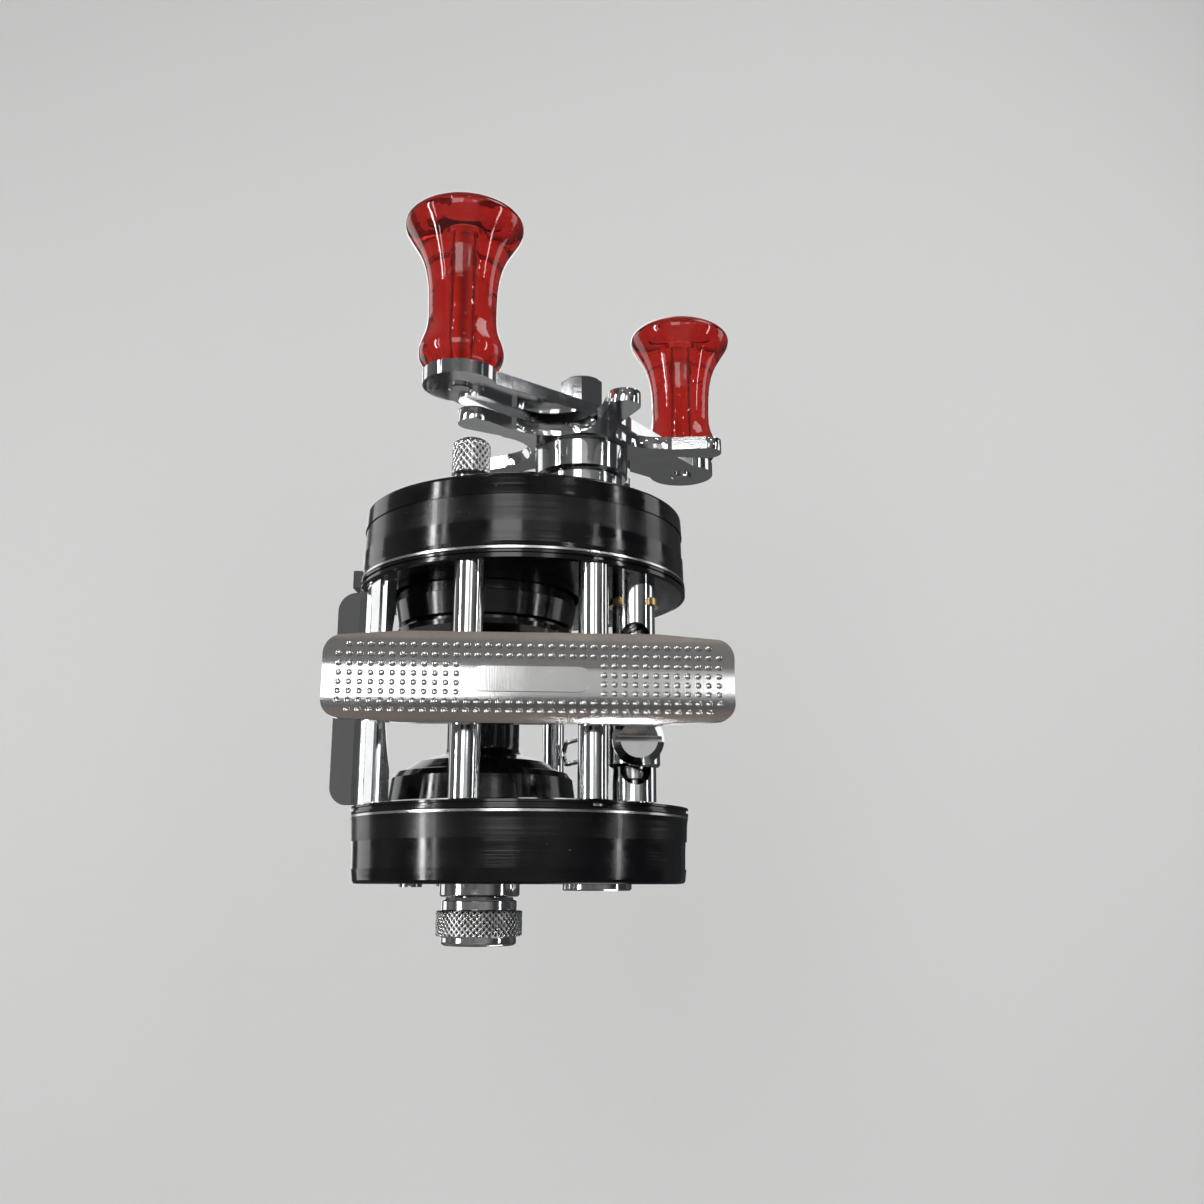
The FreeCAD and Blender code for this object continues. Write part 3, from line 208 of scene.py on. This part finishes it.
# ---- node helpers ------------------------------------------------------------------------------
class Tree:
    """Small wrapper to build a node tree."""

    def __init__(self, tree):
        self.tree = tree

    def node(self, kind, **values):
        n = self.tree.nodes.new(kind)
        for key, value in values.items():
            setattr(n, key, value)
        return n

    def link(self, a, b):
        self.tree.links.new(a, b)

    def feed(self, socket, value):
        if isinstance(value, bpy.types.NodeSocket):
            self.link(value, socket)
        else:
            socket.default_value = value

    def maths(self, op, a, b=0.0):
        n = self.node("ShaderNodeMath", operation=op)
        self.feed(n.inputs[0], a)
        self.feed(n.inputs[1], b)
        return n.outputs[0]

    def split(self, vector):
        n = self.node("ShaderNodeSeparateXYZ")
        self.link(vector, n.inputs[0])
        return n.outputs

    def join(self, x, y, z):
        n = self.node("ShaderNodeCombineXYZ")
        for socket, value in zip(n.inputs, (x, y, z)):
            self.feed(socket, value)
        return n.outputs[0]

    def noise(self, vector, scale, detail=2.0, rough=0.5):
        n = self.node("ShaderNodeTexNoise")
        self.link(vector, n.inputs["Vector"])
        n.inputs["Scale"].default_value = scale
        n.inputs["Detail"].default_value = detail
        n.inputs["Roughness"].default_value = rough
        return n.outputs["Fac"]

    def specks(self, vector, scale, size):
        """1 in small scattered dots, 0 elsewhere."""
        n = self.node("ShaderNodeTexVoronoi")
        self.link(vector, n.inputs["Vector"])
        n.inputs["Scale"].default_value = scale
        return self.maths("LESS_THAN", n.outputs["Distance"], size)

    def spread(self, value, low, high, new_low, new_high):
        n = self.node("ShaderNodeMapRange")
        self.link(value, n.inputs["Value"])
        for key, v in (("From Min", low), ("From Max", high), ("To Min", new_low), ("To Max", new_high)):
            n.inputs[key].default_value = v
        return n.outputs[0]

    def mix(self, factor, a, b):
        n = self.node("ShaderNodeMix", data_type="RGBA")
        self.feed(n.inputs[0], factor)
        self.feed(n.inputs[6], a)
        self.feed(n.inputs[7], b)
        return n.outputs[2]

    def bump(self, height, distance, strength=1.0, before=None):
        n = self.node("ShaderNodeBump")
        self.link(height, n.inputs["Height"])
        n.inputs["Distance"].default_value = distance
        n.inputs["Strength"].default_value = strength
        if before is not None:
            self.link(before, n.inputs["Normal"])
        return n.outputs[0]


class Graph(Tree):
    """A material's node tree, ending in its Principled shader."""

    def __init__(self, name):
        self.mat = bpy.data.materials.new(name)
        self.mat.use_nodes = True
        super().__init__(self.mat.node_tree)
        self.bsdf = self.tree.nodes["Principled BSDF"]

    def place(self):
        """Position in the row frame at rest."""
        return self.node("ShaderNodeTexCoord").outputs["Object"]

    def scaled(self, vector, kx, ky, kz):
        """A vector stretched along each axis."""
        parts = self.split(vector)
        return self.join(*[self.maths("MULTIPLY", part, k) for part, k in zip(parts, (kx, ky, kz))])

    def polar(self, axis):
        """(x, distance from an axis along X, angle) as sockets."""
        x, y, z = self.split(self.place())
        dy = self.maths("SUBTRACT", y, axis.y)
        dz = self.maths("SUBTRACT", z, axis.z)
        squares = self.maths("ADD", self.maths("MULTIPLY", dy, dy), self.maths("MULTIPLY", dz, dz))
        return x, self.maths("SQRT", squares), self.maths("ARCTAN2", dz, dy)

    def lathe_marks(self, axis, round_scale):
        """Coordinates in mm that change quickly along and across an axis, slowly round it."""
        x, r, angle = self.polar(axis)
        return self.join(self.maths("MULTIPLY", x, 1000.0), self.maths("MULTIPLY", r, 1000.0),
                         self.maths("MULTIPLY", angle, round_scale))

    def done(self, colour=None, rough=None, normal=None, **fixed):
        for key, value in fixed.items():
            self.bsdf.inputs[key.replace("_", " ")].default_value = value
        if colour is not None:
            self.feed(self.bsdf.inputs["Base Color"], colour)
        if rough is not None:
            self.feed(self.bsdf.inputs["Roughness"], rough)
        if normal is not None:
            self.link(normal, self.bsdf.inputs["Normal"])
        return self.mat


# ---- finishes ----------------------------------------------------------------------------------
def turned_black(name, axis, band=None):
    """Gloss black anodised aluminium, turned about an axis along X; band is a duller strip."""
    g = Graph(name)
    marks = g.lathe_marks(axis, 0.25)
    fine = g.noise(marks, 2.4, 5.0, 0.7)
    bands = g.noise(marks, 0.42, 1.0)
    depth = g.spread(bands, 0.40, 0.60, 0.25, 1.0)
    ridges = g.maths("MULTIPLY", fine, depth)
    place = g.place()
    smudge = g.noise(place, 240.0, 3.0)
    dusty = g.spread(g.noise(place, 90.0), 0.5, 0.6, 0.0, 1.0)
    dust = g.maths("MULTIPLY", g.specks(place, 620.0, 0.035), dusty)
    rough = g.maths("ADD", g.spread(smudge, 0.3, 0.75, 0.07, 0.15), g.maths("MULTIPLY", ridges, 0.05))
    rough = g.maths("ADD", rough, g.maths("MULTIPLY", dust, 0.3))
    if band:
        x = g.split(place)[0]
        above = g.maths("GREATER_THAN", x, band[0] * MM)
        below = g.maths("LESS_THAN", x, band[1] * MM)
        dull = g.maths("MULTIPLY", above, below)
        rough = g.maths("ADD", rough, g.maths("MULTIPLY", dull, 0.10))
        ridges = g.maths("MULTIPLY", ridges, g.maths("ADD", g.maths("MULTIPLY", dull, 0.8), 1.0))
    colour = g.mix(g.spread(smudge, 0.35, 0.75, 0.0, 1.0),
                   (0.0020, 0.0021, 0.0026, 1), (0.0045, 0.0045, 0.0055, 1))
    colour = g.mix(dust, colour, (0.25, 0.25, 0.24, 1))
    normal = g.bump(ridges, 0.00003, 0.6)
    return g.done(colour, rough, normal, Specular_IOR_Level=0.5, Coat_Weight=0.2, Coat_Roughness=0.05)


def two_tone(g, factor, tint, darker):
    """A tint, and the same tint times darker where factor is 1."""
    return g.mix(factor, (*tint, 1), (*[c * darker for c in tint], 1))


def chrome(name, tint=(0.80, 0.81, 0.82), low=0.045, high=0.13):
    """Bright plate with faint smudges and hairlines."""
    g = Graph(name)
    place = g.place()
    smudge = g.noise(place, 210.0, 4.0, 0.6)
    wave = g.noise(place, 60.0, 1.0)
    long_way = g.scaled(place, 300.0, 5200.0, 5200.0)
    cross_way = g.scaled(place, 5200.0, 420.0, 5200.0)
    hair = g.maths("ADD", g.noise(long_way, 1.0), g.noise(cross_way, 1.0))
    pits = g.specks(place, 900.0, 0.045)
    pits = g.maths("MULTIPLY", pits, g.spread(g.noise(place, 150.0), 0.52, 0.62, 0.0, 1.0))
    rough = g.maths("ADD", g.spread(smudge, 0.3, 0.75, low, high), g.maths("MULTIPLY", pits, 0.25))
    colour = two_tone(g, g.spread(smudge, 0.35, 0.8, 0.0, 1.0), tint, 0.88)
    colour = g.mix(pits, colour, (0.25, 0.24, 0.22, 1))
    normal = g.bump(wave, 0.00004, 0.35)
    normal = g.bump(hair, 0.000006, 0.5, normal)
    return g.done(colour, rough, normal, Metallic=1.0)


def turned_metal(name, axis, tint, low, high, lines=0.5):
    """Machined metal with fine rings about an axis along X."""
    g = Graph(name)
    fine = g.noise(g.lathe_marks(axis, 0.4), 6.0, 3.0, 0.6)
    smudge = g.noise(g.place(), 260.0, 3.0)
    rough = g.maths("ADD", g.spread(smudge, 0.3, 0.75, low, high), g.maths("MULTIPLY", fine, 0.05))
    colour = two_tone(g, g.spread(smudge, 0.35, 0.8, 0.0, 1.0), tint, 0.82)
    return g.done(colour, rough, g.bump(fine, 0.00001, lines), Metallic=1.0)


def red_acrylic(name, axis):
    """Clear deep red resin, uneven where it was turned and handled; its bore adds no colour."""
    g = Graph(name)
    wave = g.noise(g.lathe_marks(axis, 2.0), 0.7)
    place = g.place()
    hair = g.noise(place, 2600.0)
    smudge = g.noise(place, 300.0, 3.0)
    rough = g.spread(smudge, 0.35, 0.8, 0.015, 0.07)
    normal = g.bump(wave, 0.0001, 0.5)
    normal = g.bump(hair, 0.000004, 0.3, normal)
    colour = g.mix(g.spread(smudge, 0.4, 0.8, 0.0, 1.0), (0.60, 0.026, 0.020, 1), (0.50, 0.016, 0.014, 1))
    radius = g.polar(axis)[1]
    colour = g.mix(g.maths("LESS_THAN", radius, 2.9 * MM), colour, (1, 1, 1, 1))
    return g.done(colour, rough, normal, Transmission_Weight=0.96, IOR=1.49,
                  Coat_Weight=0.4, Coat_Roughness=0.02)


def pin_metal(name, split):
    """Riveted pin: bright head, and a satin, warmer shank inside the knob beyond X = split."""
    g = Graph(name)
    place = g.place()
    cloud = g.noise(place, 200.0, 3.0)
    inside = g.maths("GREATER_THAN", g.split(place)[0], split)
    bright = g.mix(g.spread(cloud, 0.3, 0.8, 0.0, 1.0), (0.74, 0.74, 0.75, 1), (0.6, 0.6, 0.6, 1))
    colour = g.mix(inside, bright, (1.0, 0.66, 0.4, 1))
    rough = g.maths("ADD", g.spread(cloud, 0.3, 0.75, 0.12, 0.2), g.maths("MULTIPLY", inside, 0.22))
    return g.done(colour, rough, g.bump(g.noise(place, 2400.0), 0.000006, 0.5), Metallic=1.0)


def knurled(name):
    """Bright plate on a knurl: clean ridges, and painted shade darkening the pits; the mesh carries the pit
    depth, 0 to 1.
    """
    g = Graph(name)
    depth = g.node("ShaderNodeAttribute", attribute_name="depth").outputs["Fac"]
    place = g.place()
    smudge = g.noise(place, 320.0, 3.0)
    # painted shade: the colour goes from bright on the ridges to near black deep in the pits, by pit depth
    # plus a little noise
    pit_shade = g.spread(g.maths("ADD", depth, g.spread(smudge, 0.3, 0.7, -0.1, 0.1)), 0.3, 0.8, 0.0, 1.0)
    colour = g.mix(pit_shade, (0.95, 0.95, 0.95, 1), (0.05, 0.05, 0.052, 1))
    rough = g.maths("ADD", g.spread(smudge, 0.3, 0.75, 0.05, 0.13), g.spread(depth, 0.02, 0.1, 0.0, 0.18))
    return g.done(colour, rough, g.bump(g.noise(place, 2800.0), 0.000006, 0.5), Metallic=1.0)


def moulded(name, tint, rough_low, rough_high, metallic=0.0, grain=2200.0, depth=0.00002):
    """Moulded or pressed material with a fine grain."""
    g = Graph(name)
    place = g.place()
    fine = g.noise(place, grain, 3.0)
    cloud = g.noise(place, 180.0, 3.0)
    rough = g.spread(cloud, 0.3, 0.75, rough_low, rough_high)
    colour = two_tone(g, g.spread(cloud, 0.3, 0.8, 0.0, 1.0), tint, 0.7)
    return g.done(colour, rough, g.bump(fine, depth, 0.5), Metallic=metallic)


# ---- mesh helpers ------------------------------------------------------------------------------
def add_mesh(name, verts, faces, mat, body, replaced=(), depths=None):
    """Smooth-shaded piece on a body; depths, if given, says how deep each vertex lies in a pit."""
    mesh = bpy.data.meshes.new(name)
    mesh.from_pydata(verts, [], faces)
    mesh.update()
    for poly in mesh.polygons:
        poly.use_smooth = True
    if depths is not None:
        mesh.attributes.new("depth", "FLOAT", "POINT").data.foreach_set("value", depths)
    obj = bpy.data.objects.new(name, mesh)
    bpy.context.scene.collection.objects.link(obj)
    mesh.materials.append(mat)
    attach(obj, body)
    if replaced:
        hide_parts(*replaced)
    return obj


def lathe(profile, around, centre, radius_shift=None):
    """Closed turned body about an axis along X; profile is (x, r) in metres, closed through the axis.

    radius_shift(x, angle, r), if given, is added to r.
    """
    verts, faces = [], []
    for x, r in profile:
        for k in range(around):
            a = 2 * math.pi * k / around
            rr = r + (radius_shift(x, a, r) if radius_shift else 0.0)
            verts.append((x, centre.y + rr * math.cos(a), centre.z + rr * math.sin(a)))
    for i in range(len(profile) - 1):
        for k in range(around):
            a, b = i * around + k, i * around + (k + 1) % around
            faces.append((a, b, b + around, a + around))
    for i, flip in ((0, True), (len(profile) - 1, False)):
        first = i * around
        ring = list(range(first, first + around))
        verts.append((profile[i][0], centre.y, centre.z))
        hub = len(verts) - 1
        for k in range(around):
            a, b = ring[k], ring[(k + 1) % around]
            faces.append((hub, b, a) if flip else (hub, a, b))
    if profile[-1][0] < profile[0][0]:
        faces = [tuple(reversed(f)) for f in faces]
    return verts, faces


def stepped(a, b, r, count):
    """Profile points from x = a to x = b at one radius, in count equal steps."""
    return [(a + (b - a) * i / count, r) for i in range(count + 1)]


def millimetres(points):
    return [(x * MM, r * MM) for x, r in points]


def knurl_depths(verts, centre, r, depth, x_range):
    """Depth of each vertex in the knurl as a part of its full depth; 0 off the knurl."""
    low, high = sorted(x_range)
    ridge = 0.12
    return [max(ridge, pit(v, centre, r, depth)) if low <= v[0] <= high else 0.0 for v in verts]


def net(x, angle, x0, pitch_x, count, depth):
    """Height of a crossed knurl: sharp ridges in two slanting directions with pits between."""
    u = (angle / (2 * math.pi) * count + (x - x0) / pitch_x) % 1.0
    v = (angle / (2 * math.pi) * count - (x - x0) / pitch_x) % 1.0
    ridge = max(abs(u - 0.5), abs(v - 0.5)) * 2
    return -depth * (1 - ridge)


def pit(vertex, centre, r, depth):
    """How deep a vertex lies under the outside radius, as a part of the knurl's depth."""
    return min(1.0, max(0.0, (r - math.hypot(vertex[1] - centre.y, vertex[2] - centre.z)) / depth))


def sharp_edges(obj, degrees=35):
    obj.data.set_sharp_from_angle(angle=math.radians(degrees))


# ---- pieces ------------------------------------------------------------------------------------
def knurled_tension_cap(mat):
    """Tension cap: smooth neck, a knurled band and a smooth rounded end."""
    low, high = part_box("tension_cap")
    r = (high.y - low.y) / 2
    x0, x1 = -33.6 * MM, -37.4 * MM
    step, pitch, depth = 0.1 * MM, 1.05 * MM, 0.3 * MM
    count = 44
    front = [(-31.36, 4.66), (-31.36, 5.45), (-31.45, 5.6), (-31.75, 5.6), (-31.95, 6.15), (-32.03, 6.15),
             (-33.27, 6.15), (-33.35, 6.15), (-33.4, 6.2), (-33.45, 6.6)]
    back = [(-37.55, 6.6), (-37.6, 6.2), (-37.65, 6.15), (-37.73, 6.15), (-38.37, 6.15), (-38.45, 6.15),
            (-38.7, 6.08), (-38.95, 5.75), (-39.0, 5.6)]
    profile = millimetres(front) + stepped(x0, x1, r, round((x0 - x1) / step)) + millimetres(back)

    def shift(x, a, q):
        return net(x, a, x0, pitch, count, depth) if q > r - 0.01 * MM else 0.0

    verts, faces = lathe(profile, count * 10, SPOOL, shift)
    depths = knurl_depths(verts, SPOOL, r, depth, (x0, x1))
    obj = add_mesh("tension_cap_knurled", verts, faces, mat, "tension", ("tension_cap",), depths)
    sharp_edges(obj, 75)


def knurled_thumbscrews(mat):
    """Three dome-headed screws with a knurled grip."""
    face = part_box("handle_cover")[1].x
    low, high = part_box("cover_thumbscrews")
    grip, r, dome = face + 1.4 * MM, 3.12 * MM, 1.7 * MM
    pitch, depth = 1.3 * MM, 0.38 * MM
    count, dome_steps = 18, 14
    edge = high.x - dome
    profile = [(low.x, 1.4 * MM), (face, 1.4 * MM), (face, 2.55 * MM), (grip - 0.2 * MM, 2.55 * MM),
               (grip - 0.1 * MM, 2.75 * MM)]
    profile += stepped(grip, edge, r, 46)
    for k in range(1, dome_steps + 1):
        t = k / dome_steps * math.pi / 2
        profile.append((edge + dome * math.sin(t), max(r * math.cos(t), 0.05 * MM)))

    def shift(x, a, q):
        if x < grip - 0.05 * MM:
            return 0.0
        fade = min(1.0, max(0.0, (high.x - 0.25 * MM - x) / (0.9 * MM)))
        return net(x, a, grip, pitch, count, depth) * fade

    verts, faces, depths = [], [], []
    for y, z in THUMBSCREWS:
        centre = Vector((0, y * MM, z * MM))
        v, f = lathe(profile, count * 12, centre, shift)
        base = len(verts)
        verts += v
        faces += [tuple(i + base for i in loop) for loop in f]
        depths += knurl_depths(v, centre, r, depth, (grip, edge))
    obj = add_mesh("cover_thumbscrews_knurled", verts, faces, mat, "root",
                   ("cover_thumbscrews",), depths)
    sharp_edges(obj, 75)


def crossed_worm(mat):
    """Worm with both helical grooves, which cross twice in each turn."""
    lead, r = 6.0 * MM, 2.3 * MM
    groove = 0.62 * MM                # half its width, and its depth
    end = 13.1 * MM
    low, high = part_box("worm_shaft")

    def shift(x, a, q):
        if q < r * 0.9:
            return 0.0
        fade = min(1.0, max(0.0, (12.2 * MM - abs(x)) / (0.5 * MM)))
        cut = 0.0
        for s in (1, -1):
            turn = (a / (2 * math.pi) - s * x / lead + 0.08) % 1.0
            across = abs((turn + 0.5) % 1.0 - 0.5) * lead
            if across < groove:
                cut = max(cut, groove * math.sqrt(1 - (across / groove) ** 2))
        return -cut * fade

    profile = [(low.x, 1.3 * MM), (-13.25 * MM, 1.3 * MM), (-13.2 * MM, 2.2 * MM)]
    profile += stepped(-end, end, r, 262)
    profile += [(13.2 * MM, 2.2 * MM), (13.25 * MM, 1.3 * MM), (high.x, 1.3 * MM)]
    verts, faces = lathe(profile, 72, WORM, shift)
    obj = add_mesh("worm_crossed", verts, faces, mat, "worm", ("worm_shaft",))
    sharp_edges(obj)


def foot_pips(mat):
    """Small raised pips in eight rows on the rod side of the foot, none on the raised panel."""
    arch = FOOT_ARCH_R
    edge_x = 6.7 * MM
    edge_drop = arch - math.sqrt(arch ** 2 - edge_x ** 2)
    rows, row_pitch, pitch = 8, 1.36 * MM, 1.55 * MM
    panel = 10.6 * MM
    around = 12
    rings = ((0.50, -0.02), (0.46, 0.03), (0.37, 0.085), (0.25, 0.13), (0.12, 0.155))  # (r, height), mm
    verts, faces = [], []
    for row in range(rows):
        x = (row - (rows - 1) / 2) * row_pitch
        z = edge_drop - arch + math.sqrt(arch ** 2 - x ** 2)
        lean = math.asin(x / arch)
        beside_panel = 2 <= row <= rows - 3
        count = 17 if row in (0, rows - 1) else 18
        for k in range(-count, count + 1):
            y = k * pitch
            if beside_panel and abs(y) < panel:
                continue
            base = len(verts)
            for radius, height in rings:
                for j in range(around):
                    a = 2 * math.pi * j / around
                    dx, dy = radius * MM * math.cos(a), radius * MM * math.sin(a)
                    up = height * MM
                    verts.append((x + dx * math.cos(lean) - up * math.sin(lean), y + dy,
                                  z - dx * math.sin(lean) - up * math.cos(lean)))
            for i in range(len(rings) - 1):
                for j in range(around):
                    a, b = base + i * around + j, base + i * around + (j + 1) % around
                    faces.append((a, a + around, b + around, b))
            top = base + (len(rings) - 1) * around
            faces.append(tuple(top + j for j in reversed(range(around))))
            faces.append(tuple(base + j for j in range(around)))
    add_mesh("reel_foot_pips", verts, faces, mat, "root")


# ---- finishing the CAD nodes -------------------------------------------------------------------
def soften(obj, width, angle=32):
    """Breaks the sharp edges of a CAD node by a small radius, as the real part has."""
    weld = obj.modifiers.new("weld", "WELD")
    weld.merge_threshold = 1e-6
    bevel = obj.modifiers.new("edge", "BEVEL")
    bevel.width = width
    bevel.segments = 2
    bevel.limit_method = "ANGLE"
    bevel.angle_limit = math.radians(angle)
    bevel.harden_normals = True
    bevel.use_clamp_overlap = True


def paint(obj, mat):
    obj.data.materials.clear()
    obj.data.materials.append(mat)


def finish_nodes():
    """Gives every CAD node its finish, and returns the shared ones by slot."""
    by_slot = {
        "chrome": chrome("chrome"),
        "foot_chrome": chrome("foot_chrome", (0.78, 0.775, 0.77), 0.09, 0.18),
        "bright_trim": turned_metal("bright_trim", PLATE, (0.86, 0.86, 0.85), 0.14, 0.25),
        "grey_plastic": moulded("grey_plastic", (0.018, 0.020, 0.022), 0.3, 0.45),
        "brass": moulded("brass", (0.72, 0.52, 0.24), 0.2, 0.35, 1.0, 1500.0, 0.000008),
        "steel": moulded("steel", (0.55, 0.55, 0.56), 0.18, 0.34, 1.0, 2400.0, 0.000006),
        "nylon": moulded("nylon", (0.75, 0.74, 0.68), 0.35, 0.5),
        "fibre": moulded("fibre", (0.16, 0.09, 0.05), 0.6, 0.8),
    }
    axes = {"handle_cover": PLATE, "tail_cover": PLATE, "frame_ring_tail": PLATE, "frame_ring_handle": PLATE,
            "spool": SPOOL, "shaft_boss": CRANK, "drag_hub": CRANK, "tension_collar": SPOOL,
            "side_cap_disc": middle("side_cap_disc"), "oil_cap": middle("oil_cap")}
    for name, obj in nodes.items():
        slot = slot_of[name]
        if slot == "black_anodised":
            mat = turned_black("black_" + name, axes[name], DULL_BANDS.get(name))
        elif name == "knob_spindles":
            mat = pin_metal("pin_metal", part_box("knob_near")[0].x)
        elif slot == "red_acrylic":
            mat = red_acrylic(name + "_acrylic", middle(name))
        elif slot == "chrome" and name in axes:
            mat = turned_metal("turned_" + name, axes[name], (0.80, 0.81, 0.82), 0.04, 0.12, 0.35)
        else:
            mat = by_slot[slot]
        paint(obj, mat)
    for name, width in (("star_wheel", 0.22), ("free_spool_button", 0.3)):
        soften(nodes[name], width * MM)
    return by_slot


make_camera()
make_stage()
make_world()
make_light()
bpy.context.scene.view_settings.view_transform = "Standard"
finishes = finish_nodes()
knurl = knurled("knurled_chrome")
knurled_tension_cap(knurl)
knurled_thumbscrews(knurl)
crossed_worm(finishes["steel"])
foot_pips(finishes["foot_chrome"])
